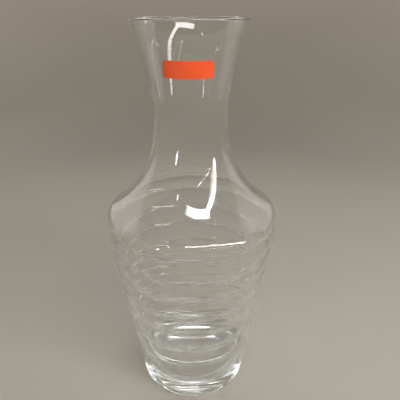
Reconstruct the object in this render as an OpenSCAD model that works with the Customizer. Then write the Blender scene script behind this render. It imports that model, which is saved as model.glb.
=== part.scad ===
// Clear glass carafe: a heavy foot, a body with soft rings around it, a slim neck and a turned-out lip.
// The glass is one turned piece. Each face of its wall is a chain of arcs that run into each other,
// directly or along the straight line that touches both. An arc is written as [centre, radius],
// in the plane of radius and height: a positive radius bulges outwards and a negative one is hollow.

/* [Overall] */
// Height from the table to the lip
height = 265; // [252:1:285]
// Diameter over the shoulder, the widest part of the body
body_d = 117; // [110:0.2:122]

/* [Foot] */
// Diameter of the foot
foot_d = 82; // [78:0.5:86]
// Height of the foot, up to the top of its rounded shoulder
foot_h = 22.6; // [20:0.2:26]
// Radius of the foot's shoulder
foot_shoulder_r = 7; // [5:0.5:9]
// Radius of the edge that meets the table
foot_edge_r = 4.6; // [2:0.2:6]
// Radius of the groove between the foot and the lowest ring
groove_r = 4; // [2.5:0.25:5]
// Width of the ring that stands on the table
rest_w = 3.4; // [2:0.2:8]
// Height of the hollow under the base
punt_h = 5; // [2:0.25:6]

/* [Rings] */
// Number of rings, counted up to the shoulder
ring_count = 7; // [5:1:9]
// Height from one ring to the next
ring_pitch = 15.7; // [14:0.1:17.6]
// Height of the lowest ring above the foot
low_ring_rise = 8.7; // [7.8:0.1:12]
// Reach of the lowest ring past the foot, on each side
low_ring_reach = 3.9; // [2:0.1:7]
// Distance of the highest ring in from the shoulder's widest line, on each side
high_ring_inset = 0.2; // [-1:0.1:3]
// Depth of the hollows between the rings
ring_depth = 1.2; // [0.6:0.1:1.6]
// Radius of the hollows between the rings
hollow_r = 1.6; // [1:0.1:4]

/* [Shoulder] */
// Height of the shoulder's widest line above the highest ring
shoulder_rise = 14.4; // [12:0.2:17]
// Radius of the shoulder
shoulder_r = 9.5; // [8:0.1:14]

/* [Neck and lip] */
// Diameter of the neck at its waist
neck_d = 46.4; // [41:0.2:52]
// Height of the waist, as a share of the way from the shoulder's widest line up to the lip
waist_share = 0.534; // [0.48:0.002:0.6]
// Radius of the neck's upper side, at the waist
flare_r = 71; // [50:1:90]
// Radius of the turned-out lip
lip_flare_r = 54; // [40:1:65]
// Lean of the lip, in degrees from upright
lip_lean = 27; // [22:1:32]
// Diameter over the lip
lip_d = 69; // [62:0.2:78]

/* [Glass] */
// Thickness of the wall
wall = 2.4; // [1.8:0.1:3]
// Thickness of the lip
lip_wall = 1.6; // [1.2:0.1:2.2]
// Height of the inside floor above the table
floor_z = 16; // [12:0.5:19]

/* [Label] */
// Width of the label, measured straight across
label_w = 28; // [16:0.2:34]
// Height of the label
label_h = 9.4; // [6:0.2:14]
// Radius of the label's corners
label_corner_r = 1.8; // [0.5:0.1:2.8]
// Thickness of the label
label_t = 0.2; // [0.1:0.05:0.4]
// Thickness of the adhesive that holds it, which is left empty
adhesive_t = 0.05; // [0.02:0.01:0.1]
// Distance from the lip down to the middle of the label
label_drop = 25.2; // [16:0.2:36]

/* [Hidden] */
$fn = 128;

// Largest turn, in degrees, from one point of an arc to the next
arc_step = 7;
// Points closer than this are one point
same_point = 0.001;

glass_colour = [0.86, 0.91, 0.92, 0.4];
label_colour = [0.9, 0.2, 0.1];

foot_r = foot_d / 2;
waist_r = neck_d / 2;
low_ring_z = foot_h + low_ring_rise;
shoulder_z = low_ring_z + (ring_count - 1) * ring_pitch + shoulder_rise;
waist_z = shoulder_z + waist_share * (height - shoulder_z);

// Points of an arc between two directions of its normal
function arc_points(arc, from, to) =
    let (steps = max(1, ceil(abs(to - from) / arc_step)))
    [for (i = [0:steps])
        let (a = from + (to - from) * i / steps)
        arc[0] + arc[1] * [cos(a), sin(a)]];

// Direction of the normal where one arc leaves for the next; it is also that of a line between them
function leaving_angle(low, high) =
    let (
        across = high[0] - low[0],
        share = (low[1] - high[1]) / norm(across)
    )
    atan2(across.y, across.x) - acos(min(1, max(-1, share)));

// Points along a chain of arcs
function chain_points(chain, from, to) =
    let (last = len(chain) - 1)
    [for (i = [0:last])
        let (
            start = i == 0 ? from : leaving_angle(chain[i - 1], chain[i]),
            end = i == last ? to : leaving_angle(chain[i], chain[i + 1])
        )
        each arc_points(chain[i], start, end)];

// Hollow arc of a given radius that rests on two bulging arcs from outside
function hollow_between(low, high, r) =
    let (
        across = high[0] - low[0],
        apart = norm(across),
        up = across / apart,
        low_reach = low[1] + r,
        high_reach = high[1] + r,
        along = (low_reach ^ 2 - high_reach ^ 2 + apart ^ 2) / (2 * apart),
        out = sqrt(low_reach ^ 2 - along ^ 2)
    )
    [low[0] + along * up + out * [up.y, -up.x], -r];

// The same arcs a given depth into the glass
function inset(arcs, depth) = [for (arc = arcs) [arc[0], arc[1] - depth]];

function reversed(points) = [for (i = [len(points) - 1:-1:0]) points[i]];

// Two arcs that touch share a point, which is kept once
function distinct(points) =
    [for (i = [0:len(points) - 1])
        if (i == 0 || norm(points[i] - points[i - 1]) > same_point) points[i]];

// Foot: the edge on the table and its shoulder
edge_arc = [[foot_r - foot_edge_r, foot_edge_r], foot_edge_r];
foot_arc = [[foot_r - foot_shoulder_r, foot_h - foot_shoulder_r], foot_shoulder_r];

// Rings: a bulging arc at each crest and a hollow one between two of them, along a sloping line
low_crest = [foot_r + low_ring_reach, low_ring_z];
ring_step = [(body_d / 2 - high_ring_inset - low_crest.x) / (ring_count - 1), ring_pitch];
ring_spacing = norm(ring_step);
out_of_rings = [ring_step.y, -ring_step.x] / ring_spacing;
ring_turn = 2 * atan(2 * ring_depth / ring_spacing);
crest_r = ring_spacing / 2 / sin(ring_turn) - hollow_r;
ring_arcs = [
    for (i = [0:ring_count - 1])
        let (crest = low_crest + i * ring_step)
        each [
            if (i > 0) [crest - ring_step / 2 + (hollow_r - ring_depth) * out_of_rings, -hollow_r],
            [crest - crest_r * out_of_rings, crest_r]
        ]
];

// Shoulder, and the neck below its waist: a hollow arc, upright at the waist, that runs into the shoulder
shoulder_arc = [[body_d / 2 - shoulder_r, shoulder_z], shoulder_r];
shoulder_hollow = hollow_between(ring_arcs[len(ring_arcs) - 1], shoulder_arc, hollow_r);
to_waist = [waist_r, waist_z] - shoulder_arc[0];
sweep_r = (to_waist * to_waist - shoulder_r ^ 2) / (2 * (shoulder_r - to_waist.x));
sweep_arc = [[waist_r + sweep_r, waist_z], -sweep_r];

// Neck above its waist, the arc that turns the lip out, and the round lip
flare_arc = [[waist_r + flare_r, waist_z], -flare_r];
lip_arc = [[(lip_d - lip_wall) / 2, height - lip_wall / 2], lip_wall / 2];
lip_flare_centre = lip_arc[0] + (lip_flare_r + lip_wall / 2) * [cos(lip_lean), -sin(lip_lean)];
lip_flare_arc = [lip_flare_centre, -lip_flare_r];

body_arcs = concat(ring_arcs, [shoulder_hollow, shoulder_arc, sweep_arc, flare_arc]);

// Hollow under the base, from its middle to the ring that stands on the table
function punt_points() =
    let (
        rim = foot_r - foot_edge_r - rest_w,
        r = (rim ^ 2 + punt_h ^ 2) / (2 * punt_h)
    )
    arc_points([[0, punt_h - r], r], 90, atan2(r - punt_h, rim));

// Outside, from the edge on the table to the top of the lip
function outside_points() =
    let (groove = hollow_between(foot_arc, ring_arcs[0], groove_r))
    chain_points(
        concat([edge_arc, foot_arc, groove], body_arcs, [lip_flare_arc, lip_arc]),
        -90, 90);

// Corner of the inside floor, which runs into the inside of the lowest ring, level with the top of the foot
function corner_arc(ring) =
    let (
        rise = (foot_h - ring[0].y) / ring[1],
        r = (foot_h - floor_z) / (1 + rise)
    )
    [[ring[0].x + (ring[1] - r) * sqrt(1 - rise ^ 2), floor_z + r], r];

// Inside, from the middle of the floor to the top of the lip
function inside_points() =
    let (
        body_inside = inset(body_arcs, wall),
        lip_inside = inset([lip_flare_arc, lip_arc], lip_wall)
    )
    concat(
        [[0, floor_z]],
        chain_points(concat([corner_arc(body_inside[0])], body_inside, lip_inside), -90, -90));

module glass_vessel() {
    outline = concat(punt_points(), outside_points(), reversed(inside_points()));
    color(glass_colour)
        rotate_extrude()
            polygon(distinct(outline));
}

module rounded_rectangle(w, h, r) {
    square([w - 2 * r, h], center = true);
    square([w, h - 2 * r], center = true);
    for (x = [-1, 1], y = [-1, 1])
        translate([x * (w / 2 - r), y * (h / 2 - r)])
            circle(r);
}

// The label is a skin on the neck above the waist, and faces -Y
module neck_label() {
    neck_arcs = [flare_arc, lip_flare_arc];
    back = chain_points(inset(neck_arcs, -adhesive_t), 0, -lip_lean);
    front = chain_points(inset(neck_arcs, -adhesive_t - label_t), 0, -lip_lean);
    color(label_colour)
        intersection() {
            rotate_extrude()
                polygon(distinct(concat(back, reversed(front))));
            translate([0, 0, height - label_drop])
                rotate([90, 0, 0])
                    linear_extrude(lip_d)
                        rounded_rectangle(label_w, label_h, label_corner_r);
        }
}

glass_vessel();
neck_label();
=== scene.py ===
"""Studio scene of a clear glass carafe with rings around its body and a plain label on its neck."""
import math

import bmesh
import bpy
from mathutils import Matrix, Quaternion, Vector


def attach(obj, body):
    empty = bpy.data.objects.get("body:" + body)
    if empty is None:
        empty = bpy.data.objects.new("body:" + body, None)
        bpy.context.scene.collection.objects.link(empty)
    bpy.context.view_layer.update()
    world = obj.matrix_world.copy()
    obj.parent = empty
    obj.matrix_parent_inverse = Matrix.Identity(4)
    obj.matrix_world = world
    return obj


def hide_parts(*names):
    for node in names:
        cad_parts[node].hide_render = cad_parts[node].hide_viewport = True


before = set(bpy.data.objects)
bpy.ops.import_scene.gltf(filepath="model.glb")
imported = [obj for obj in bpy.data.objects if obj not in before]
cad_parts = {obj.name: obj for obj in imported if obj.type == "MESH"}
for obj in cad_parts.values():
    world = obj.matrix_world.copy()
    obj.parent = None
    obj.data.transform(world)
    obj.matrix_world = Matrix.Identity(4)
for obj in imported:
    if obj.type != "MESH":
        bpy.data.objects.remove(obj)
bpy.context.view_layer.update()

MM = 0.001

# Sizes of the glass in millimetres, the same as in the part's source
HEIGHT = 265
BODY_R = 58.5
FOOT_R = 41
FOOT_H = 22.6
FOOT_SHOULDER_R = 7
FOOT_EDGE_R = 4.6
GROOVE_R = 4
REST_W = 3.4
PUNT_H = 5
RING_COUNT = 7
RING_PITCH = 15.7
LOW_RING_RISE = 8.7
LOW_RING_REACH = 3.9
RING_DEPTH = 1.2
HOLLOW_R = 1.6
HIGH_RING_INSET = 0.2
SHOULDER_RISE = 14.4
SHOULDER_R = 9.5
WAIST_R = 23.2
WAIST_SHARE = 0.534
FLARE_R = 71
LIP_FLARE_R = 54
LIP_LEAN = math.radians(27)
LIP_R = 34.5
WALL = 2.4
LIP_WALL = 1.6
FLOOR_Z = 16

# Depth of the rings on the inside and radius of the ridges between them in millimetres;
# in the part's source the inside is shallower there and follows the outside
INSIDE_RING_DEPTH = 2
INSIDE_RIDGE_R = 1.2

# Unevenness that blowing leaves on the inside, in millimetres,
# and the distances from the middle of the floor and below the lip over which it sets in
UNEVENNESS = 0.12
FLOOR_FADE = 20
LIP_FADE = 30

# Sizes of the label in millimetres; its adhesive is bedded into the glass's skin,
# so that no air is left between them
LABEL_W = 28
LABEL_H = 9.4
LABEL_CORNER_R = 1.8
LABEL_DROP = 25.2
LABEL_T = 0.2
ADHESIVE_T = 0.05
ADHESIVE_BEDDING = 0.03

# Fineness: largest turn from one point of an arc to the next, points around the glass and the floor,
# and the distance in millimetres below which two points are one
ARC_STEP = math.radians(3)
GLASS_AROUND = 136
FLOOR_AROUND = 96
SAME_POINT = 0.001

# Edges that turn more sharply than this are creases
CREASE = math.radians(50)

# Air between the foot and the floor, in millimetres, so that light comes out of the glass there
AIR_GAP = 0.15

# Brightness of the room in front of the carafe and behind it, the part of the way back over which it changes,
# and its brightness where the camera sees past the backdrop; the softboxes give the rest of the light
ROOM_FRONT = 0.06
ROOM_BACK = 0.8
ROOM_CHANGE = (0.05, 0.25)
ROOM_SEEN = 0.53

# Distance of the softboxes from the carafe, in metres
LAMP_DISTANCE = 0.65

# Roughness of the haze on the glass, and depths in metres of its waves and of the label's grain
HAZE_ROUGHNESS = 0.035
WAVE_DEPTH = 0.00004
GRAIN_DEPTH = 0.00001

WHITE = (1, 1, 1, 1)
GLASS_TINT = (0.75, 0.95, 0.9, 1)
LABEL_COLOUR = (0.86, 0.1, 0.02, 1)
LABEL_DARK_COLOUR = (0.78, 0.075, 0.014, 1)
ADHESIVE_COLOUR = (0.74, 0.7, 0.66, 1)
ADHESIVE_BLOTCH_COLOUR = (0.62, 0.52, 0.47, 1)
FLOOR_COLOUR = (0.36, 0.33, 0.285, 1)
BACKDROP_COLOUR = (0.7, 0.645, 0.56, 1)
COOL_LIGHT = (0.85, 0.93, 1)


# Outline: arcs, each a centre and a radius in the plane of radius and height

def arc_points(arc, start, end):
    """Points of an arc between two directions of its normal."""
    centre, radius = arc
    steps = max(1, math.ceil(abs(end - start) / ARC_STEP))
    turns = [start + (end - start) * i / steps for i in range(steps + 1)]
    return [centre + radius * Vector((math.cos(a), math.sin(a))) for a in turns]


def leaving_angle(low, high):
    """Direction of the normal where one arc leaves for the next, directly or along a line."""
    across = high[0] - low[0]
    share = (low[1] - high[1]) / across.length
    return math.atan2(across.y, across.x) - math.acos(min(1, max(-1, share)))


def chain_points(chain, start, end):
    """Points along arcs that run into each other."""
    turns = [start, *map(leaving_angle, chain[:-1], chain[1:]), end]
    points = []
    for arc, entering, leaving in zip(chain, turns, turns[1:]):
        points += arc_points(arc, entering, leaving)
    return points


def hollow_between(low, high, radius):
    """Hollow arc of a given radius that rests on two bulging arcs from outside."""
    across = high[0] - low[0]
    apart = across.length
    up = across / apart
    low_reach = low[1] + radius
    high_reach = high[1] + radius
    along = (low_reach ** 2 - high_reach ** 2 + apart ** 2) / (2 * apart)
    out = math.sqrt(low_reach ** 2 - along ** 2)
    return low[0] + along * up + out * Vector((up.y, -up.x)), -radius


def inset(arcs, depth):
    """The same arcs a given depth into the glass."""
    return [(centre, radius - depth) for centre, radius in arcs]


def ring_arcs(depth, hollow_r):
    """A bulging arc at each ring's crest and a hollow one between two of them, along a sloping line."""
    low_crest = Vector((FOOT_R + LOW_RING_REACH, FOOT_H + LOW_RING_RISE))
    step = Vector(((BODY_R - HIGH_RING_INSET - low_crest.x) / (RING_COUNT - 1), RING_PITCH))
    out = Vector((step.y, -step.x)).normalized()
    turn = 2 * math.atan(2 * depth / step.length)
    crest_r = step.length / 2 / math.sin(turn) - hollow_r
    arcs = []
    for i in range(RING_COUNT):
        crest = low_crest + i * step
        if i:
            arcs.append((crest - step / 2 + (hollow_r - depth) * out, -hollow_r))
        arcs.append((crest - crest_r * out, crest_r))
    return arcs


SHOULDER_Z = FOOT_H + LOW_RING_RISE + (RING_COUNT - 1) * RING_PITCH + SHOULDER_RISE
WAIST_Z = SHOULDER_Z + WAIST_SHARE * (HEIGHT - SHOULDER_Z)
RING_ARCS = ring_arcs(RING_DEPTH, HOLLOW_R)
EDGE_ARC = (Vector((FOOT_R - FOOT_EDGE_R, FOOT_EDGE_R)), FOOT_EDGE_R)
FOOT_ARC = (Vector((FOOT_R - FOOT_SHOULDER_R, FOOT_H - FOOT_SHOULDER_R)), FOOT_SHOULDER_R)
SHOULDER_ARC = (Vector((BODY_R - SHOULDER_R, SHOULDER_Z)), SHOULDER_R)
FLARE_ARC = (Vector((WAIST_R + FLARE_R, WAIST_Z)), -FLARE_R)
LIP_ARC = (Vector((LIP_R - LIP_WALL / 2, HEIGHT - LIP_WALL / 2)), LIP_WALL / 2)
LIP_FLARE_ARC = (
    LIP_ARC[0] + (LIP_FLARE_R + LIP_WALL / 2) * Vector((math.cos(LIP_LEAN), -math.sin(LIP_LEAN))),
    -LIP_FLARE_R,
)


def sweep_arc():
    """Hollow arc from the shoulder up to the waist of the neck, upright at the waist."""
    to_waist = Vector((WAIST_R, WAIST_Z)) - SHOULDER_ARC[0]
    radius = (to_waist.length_squared - SHOULDER_R ** 2) / (2 * (SHOULDER_R - to_waist.x))
    return Vector((WAIST_R + radius, WAIST_Z)), -radius


def body_arcs(rings):
    """Rings, shoulder and neck, up to where the lip turns out."""
    hollow = hollow_between(rings[-1], SHOULDER_ARC, HOLLOW_R)
    return [*rings, hollow, SHOULDER_ARC, sweep_arc(), FLARE_ARC]


def punt_points():
    """Hollow under the base, from its middle to the ring that stands on the table."""
    rim = FOOT_R - FOOT_EDGE_R - REST_W
    radius = (rim ** 2 + PUNT_H ** 2) / (2 * PUNT_H)
    end = math.atan2(radius - PUNT_H, rim)
    return arc_points((Vector((0, PUNT_H - radius)), radius), math.pi / 2, end)


def outside_points():
    """Outside, from the edge on the table to the top of the lip."""
    groove = hollow_between(FOOT_ARC, RING_ARCS[0], GROOVE_R)
    chain = [EDGE_ARC, FOOT_ARC, groove, *body_arcs(RING_ARCS), LIP_FLARE_ARC, LIP_ARC]
    return chain_points(chain, -math.pi / 2, math.pi / 2)


def corner_arc(ring):
    """Corner of the inside floor, which runs into the lowest ring, level with the top of the foot."""
    centre, ring_r = ring
    rise = (FOOT_H - centre.y) / ring_r
    radius = (FOOT_H - FLOOR_Z) / (1 + rise)
    return Vector((centre.x + (ring_r - radius) * math.sqrt(1 - rise ** 2), FLOOR_Z + radius)), radius


def inside_points():
    """Inside, from the middle of the floor to the top of the lip; its rings are deeper above the lowest."""
    lowest = RING_ARCS[0]
    ridge_r = INSIDE_RIDGE_R - WALL
    deep_rings = ring_arcs(INSIDE_RING_DEPTH, ridge_r)[2:]
    rings = [lowest, hollow_between(lowest, deep_rings[0], ridge_r), *deep_rings]
    body = inset(body_arcs(rings), WALL)
    lip = inset([LIP_FLARE_ARC, LIP_ARC], LIP_WALL)
    side = chain_points([corner_arc(body[0]), *body, *lip], -math.pi / 2, -math.pi / 2)
    return [Vector((0, FLOOR_Z)), *side]


def distinct(points):
    """Two arcs that touch share a point, which is kept once."""
    kept = points[:1]
    for point in points[1:]:
        if (point - kept[-1]).length > SAME_POINT:
            kept.append(point)
    return kept


# Meshes

def new_piece(name, mesh_maker, *materials):
    """An object from a bmesh, shaded smooth up to its creases."""
    bm = bmesh.new()
    mesh_maker(bm)
    for face in bm.faces:
        face.smooth = True
    for edge in bm.edges:
        edge.smooth = edge.calc_face_angle(0) < CREASE
    mesh = bpy.data.meshes.new(name)
    bm.to_mesh(mesh)
    bm.free()
    for material in materials:
        mesh.materials.append(material)
    piece = bpy.data.objects.new(name, mesh)
    bpy.context.scene.collection.objects.link(piece)
    return piece


def turned(bm, outline, around, radius_at):
    """Turns an outline that starts on the axis, and returns its last ring of points."""
    directions = [2 * math.pi * i / around for i in range(around)]
    middle = bm.verts.new((0, 0, outline[0].y * MM))
    rings = []
    for point in outline[1:]:
        ring = []
        for a in directions:
            r = radius_at(point, a)
            ring.append(bm.verts.new(Vector((r * math.cos(a), r * math.sin(a), point.y)) * MM))
        rings.append(ring)
    for i in range(around):
        j = (i + 1) % around
        bm.faces.new((middle, rings[0][j], rings[0][i]))
        for low, high in zip(rings, rings[1:]):
            bm.faces.new((low[i], low[j], high[j], high[i]))
    return rings[-1]


def true_radius(point, direction):
    """Radius of the outline, the same all around."""
    return point.x


def blown_radius(point, direction):
    """Radius of the inside, a little uneven; the lip and the middle of the floor stay true."""
    sway = (
        math.sin(2 * direction + 0.9 + 0.031 * point.y)
        + 0.7 * math.sin(5 * direction - 0.052 * point.y)
        + 0.4 * math.sin(9 * direction + 0.11 * point.y)
    )
    fade = min(1, point.x / FLOOR_FADE, (HEIGHT - point.y) / LIP_FADE)
    return point.x + UNEVENNESS * fade * sway


def make_glass(bm):
    """Closed skin of the glass: the outside and the inside, which meet along the top of the lip."""
    inside_lip = turned(bm, distinct(inside_points()), GLASS_AROUND, blown_radius)
    bmesh.ops.reverse_faces(bm, faces=bm.faces)
    outside = distinct([*punt_points(), *outside_points()])
    outside_lip = turned(bm, outside, GLASS_AROUND, true_radius)
    bmesh.ops.weld_verts(bm, targetmap=dict(zip(inside_lip, outside_lip)))


def neck_radius(height):
    """Outside radius of the neck at a height above its waist, along the same points as the glass."""
    points = chain_points([FLARE_ARC, LIP_FLARE_ARC], 0, -LIP_LEAN)
    low, high = next((p, q) for p, q in zip(points, points[1:]) if p.y <= height < q.y)
    return low.x + (high.x - low.x) * (height - low.y) / (high.y - low.y)


def label_rows():
    """Rise and half width of each row of the label, close together in its rounded corners."""
    straight = Vector((LABEL_W / 2 - LABEL_CORNER_R, LABEL_H / 2 - LABEL_CORNER_R))
    corner = arc_points((straight, LABEL_CORNER_R), 0, math.pi / 2)
    rows = 4
    middle = [(straight.y * i / rows, LABEL_W / 2) for i in range(1 - rows, rows)]
    return [(-p.y, p.x) for p in reversed(corner)] + middle + [(p.y, p.x) for p in corner]


def label_grid(bm, offset):
    """Points of one side of the label, a given way out from the glass."""
    columns = 48
    middle_z = HEIGHT - LABEL_DROP
    grid = []
    for rise, half_w in label_rows():
        radius = neck_radius(middle_z + rise) + offset
        across = [half_w * (2 * i / columns - 1) for i in range(columns + 1)]
        row = [Vector((x, -math.sqrt(radius ** 2 - x ** 2), middle_z + rise)) for x in across]
        grid.append([bm.verts.new(point * MM) for point in row])
    return grid


def around_grid(grid):
    """The points around a grid, from its first corner."""
    end_side = [row[-1] for row in grid[1:-1]]
    start_side = [row[0] for row in grid[-2:0:-1]]
    return [*grid[0], *end_side, *reversed(grid[-1]), *start_side]


def make_label(bm):
    """Film that follows the neck: its printed front, its pale back and the cut edge between them."""
    front = label_grid(bm, ADHESIVE_T + LABEL_T)
    back = label_grid(bm, -ADHESIVE_BEDDING)
    for low, high in zip(front, front[1:]):
        for i in range(len(low) - 1):
            bm.faces.new((low[i], low[i + 1], high[i + 1], high[i]))
    for low, high in zip(back, back[1:]):
        for i in range(len(low) - 1):
            bm.faces.new((low[i], high[i], high[i + 1], low[i + 1])).material_index = 1
    front_rim = around_grid(front)
    back_rim = around_grid(back)
    for i in range(len(front_rim)):
        bm.faces.new((front_rim[i - 1], back_rim[i - 1], back_rim[i], front_rim[i]))


# Finishes

class Value:
    """A number socket that takes part in sums: each sign adds a Math node."""

    def __init__(self, finish, socket):
        self.finish = finish
        self.socket = socket

    def math(self, operation, *terms):
        return self.finish.node("ShaderNodeMath", {"operation": operation}, dict(enumerate(terms)))

    def __add__(self, other):
        return self.math("ADD", self, other)

    def __sub__(self, other):
        return self.math("SUBTRACT", self, other)

    def __rsub__(self, other):
        return self.math("SUBTRACT", other, self)

    def __mul__(self, other):
        return self.math("MULTIPLY", self, other)

    __radd__ = __add__
    __rmul__ = __mul__

    def between(self, low, high):
        """How far the value is from low to high, from 0 to 1."""
        sockets = {"Value": self, "From Min": low, "From Max": high}
        return self.finish.node("ShaderNodeMapRange", {"clamp": True}, sockets)


class Finish:
    """A node tree under construction, with one method that adds a node."""

    def __init__(self, owner):
        owner.use_nodes = True
        self.tree = owner.node_tree
        self.tree.nodes.clear()

    def node(self, kind, settings, sockets, output=0):
        """Adds a node with its settings and the values or links of its sockets, and returns one output."""
        made = self.tree.nodes.new(kind)
        for name, value in settings.items():
            setattr(made, name, value)
        for name, value in sockets.items():
            if isinstance(value, Value):
                self.tree.links.new(value.socket, made.inputs[name])
            else:
                made.inputs[name].default_value = value
        return Value(self, made.outputs[output]) if len(made.outputs) else None

    def place(self, stretch=(1, 1, 1)):
        """Place on the piece, in metres, with its axes stretched."""
        at = self.node("ShaderNodeTexCoord", {}, {}, "Object")
        return self.node("ShaderNodeVectorMath", {"operation": "MULTIPLY"}, {0: at, 1: stretch})

    def noise(self, place, scale, detail=2):
        return self.node("ShaderNodeTexNoise", {}, {"Vector": place, "Scale": scale, "Detail": detail})

    def mixed(self, share, one, other):
        """One colour where the share is 0 and the other where it is 1."""
        return self.node("ShaderNodeMix", {"data_type": "RGBA"}, {0: share, 6: one, 7: other}, 2)

    def bumped(self, height, depth):
        """Normal of a surface that rises by a depth in metres where the height is 1."""
        return self.node("ShaderNodeBump", {}, {"Height": height, "Distance": depth})


def new_material(name):
    """A material and the node tree of its finish, still empty."""
    material = bpy.data.materials.new(name)
    return material, Finish(material)


def glass_finish():
    """Clear glass: a slightly wavy skin, with a faint haze where a cloth has wiped around it."""
    material, finish = new_material("clear_glass")
    wiped = finish.noise(finish.place((1, 1, 5)), 30, 4).between(0.52, 0.8)
    waves = finish.noise(finish.place((1, 1, 1.6)), 55)
    surface = finish.node("ShaderNodeBsdfPrincipled", {}, {
        "Base Color": WHITE,
        "Roughness": HAZE_ROUGHNESS * wiped,
        "IOR": 1.5,
        "Transmission Weight": 1,
        "Normal": finish.bumped(waves, WAVE_DEPTH),
    })
    tint = finish.node("ShaderNodeVolumeAbsorption", {}, {"Color": GLASS_TINT, "Density": 3})
    finish.node("ShaderNodeOutputMaterial", {}, {"Surface": surface, "Volume": tint})
    return material


def label_finish():
    """Printed film: an even orange-red with a fine grain, under a clear varnish."""
    material, finish = new_material("label_film")
    place = finish.place()
    grain = finish.noise(place, 2500, 3).between(0.3, 0.7)
    cloud = finish.noise(place, 160).between(0.3, 0.7)
    surface = finish.node("ShaderNodeBsdfPrincipled", {}, {
        "Base Color": finish.mixed(0.5 * grain + 0.5 * cloud, LABEL_COLOUR, LABEL_DARK_COLOUR),
        "Roughness": 0.3 + 0.12 * cloud,
        "Normal": finish.bumped(grain, GRAIN_DEPTH),
        "Coat Weight": 0.3,
        "Coat Roughness": 0.12,
    })
    finish.node("ShaderNodeOutputMaterial", {}, {"Surface": surface})
    return material


def label_back_finish():
    """Adhesive side of the film: off-white, with the blotches of the adhesive."""
    material, finish = new_material("label_back")
    blotch = finish.noise(finish.place(), 420, 3).between(0.35, 0.7)
    surface = finish.node("ShaderNodeBsdfPrincipled", {}, {
        "Base Color": finish.mixed(blotch, ADHESIVE_COLOUR, ADHESIVE_BLOTCH_COLOUR),
        "Roughness": 0.55,
    })
    finish.node("ShaderNodeOutputMaterial", {}, {"Surface": surface})
    return material


def floor_finish():
    """Plain floor that turns paler where it rises into the backdrop."""
    material, finish = new_material("pale_floor")
    height = finish.node("ShaderNodeSeparateXYZ", {}, {"Vector": finish.place()}, "Z")
    surface = finish.node("ShaderNodeBsdfPrincipled", {}, {
        "Base Color": finish.mixed(height.between(0, 0.3), FLOOR_COLOUR, BACKDROP_COLOUR),
        "Roughness": 0.85,
        "Specular IOR Level": 0.2,
    })
    finish.node("ShaderNodeOutputMaterial", {}, {"Surface": surface})
    return material


# Stage

def make_dish(bm):
    """Round floor that curves up into a backdrop on every side."""
    flat_r, curve_r, backdrop_h = 550, 450, 800
    curve = arc_points((Vector((flat_r, curve_r - AIR_GAP)), curve_r), -math.pi / 2, 0)
    top = Vector((flat_r + curve_r, backdrop_h))
    turned(bm, [Vector((0, -AIR_GAP)), *curve, top], FLOOR_AROUND, true_radius)
    bmesh.ops.reverse_faces(bm, faces=bm.faces)


def softbox(name, azimuth, elevation, tilt, size, share, colour=(1, 1, 1)):
    """A flat lamp that faces the shoulder and gives the floor a share of its light.

    Azimuth, elevation and tilt are in degrees, with azimuth 0 in front of the label. The size is in metres.
    """
    a, e = math.radians(azimuth), math.radians(elevation)
    back = Vector((math.sin(a) * math.cos(e), -math.cos(a) * math.cos(e), math.sin(e)))
    place = Vector((0, 0, SHOULDER_Z * MM)) + back * LAMP_DISTANCE
    lamp = bpy.data.lights.new(name, "AREA")
    lamp.shape = "RECTANGLE"
    lamp.size, lamp.size_y = size
    lamp.energy = share * math.pi ** 2 * place.length ** 3 / place.z
    lamp.color = colour
    holder = bpy.data.objects.new(name, lamp)
    holder.location = place
    holder.rotation_mode = "QUATERNION"
    holder.rotation_quaternion = back.to_track_quat("Z", "Y") @ Quaternion((0, 0, 1), math.radians(tilt))
    holder.visible_camera = False
    bpy.context.scene.collection.objects.link(holder)


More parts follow.
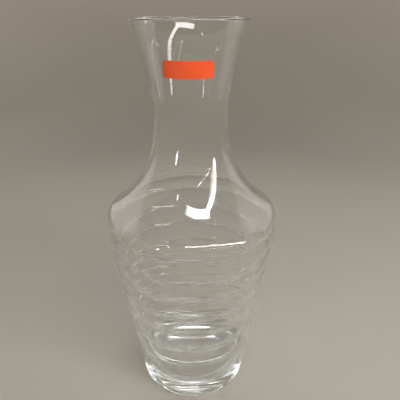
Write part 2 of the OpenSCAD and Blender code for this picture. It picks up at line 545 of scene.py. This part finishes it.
def make_room():
    """Dim light from all around, lighter behind the carafe. The camera sees it as more of the backdrop."""
    world = bpy.data.worlds.new("room")
    bpy.context.scene.world = world
    finish = Finish(world)
    direction = finish.node("ShaderNodeTexCoord", {}, {}, "Generated")
    back = finish.node("ShaderNodeSeparateXYZ", {}, {"Vector": direction}, "Y").between(*ROOM_CHANGE)
    seen = finish.node("ShaderNodeLightPath", {}, {}, "Is Camera Ray")
    room = ROOM_FRONT + (ROOM_BACK - ROOM_FRONT) * back
    light = finish.node("ShaderNodeBackground", {}, {
        "Color": finish.mixed(seen, WHITE, BACKDROP_COLOUR),
        "Strength": room + (ROOM_SEEN - room) * seen,
    })
    finish.node("ShaderNodeOutputWorld", {}, {"Surface": light})


def make_lamps():
    """Two main lamps, small ones for glints on the neck, a strip for the rings and panels for the sides."""
    softbox("ceiling_light", 17, 52, 0, (0.36, 0.08), 0.22)
    softbox("window", 56.5, 29.5, -56, (0.56, 0.06), 0.26)
    softbox("track_light", 36, 25.5, -26, (0.4, 0.005), 0.04)
    softbox("left_strip", -38, 12, 0, (0.03, 0.09), 0.04, COOL_LIGHT)
    softbox("small_lamp", -29, 39, 0, (0.02, 0.05), 0.01)
    softbox("back_strip", 180, 50, 0, (1.3, 0.05), 0.24)
    softbox("left_panel", -125, 22, 0, (0.55, 0.5), 0.045)
    softbox("right_panel", 125, 22, 0, (0.55, 0.5), 0.045)


def make_camera():
    """Camera of the photograph: just above the lip, a quarter of a metre from the axis, looking down."""
    distance, height = 0.2505, 0.2703
    azimuth, yaw, pitch = math.radians(3), math.radians(1.3), math.radians(25.79)
    camera = bpy.data.cameras.new("photograph")
    camera.sensor_width = 36
    camera.lens = 36
    camera.clip_start = 0.01
    holder = bpy.data.objects.new("photograph", camera)
    holder.location = (distance * math.sin(azimuth), -distance * math.cos(azimuth), height)
    holder.rotation_euler = (math.pi / 2 - pitch, 0, azimuth - yaw)
    bpy.context.scene.collection.objects.link(holder)
    bpy.context.scene.camera = holder


def let_light_through():
    """Light passes many faces of the glass before it reaches the floor under it."""
    cycles = bpy.context.scene.cycles
    cycles.max_bounces = 64
    cycles.transmission_bounces = 64
    cycles.glossy_bounces = 64
    cycles.diffuse_bounces = 16
    cycles.blur_glossy = 0


make_camera()
make_room()
make_lamps()
let_light_through()
bpy.context.scene.view_settings.view_transform = "Standard"

floor = new_piece("floor", make_dish, floor_finish())

glass = new_piece("carafe_glass", make_glass, glass_finish())
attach(glass, "root")
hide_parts("glass_vessel")

label = new_piece("carafe_label", make_label, label_finish(), label_back_finish())
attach(label, "root")
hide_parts("neck_label")
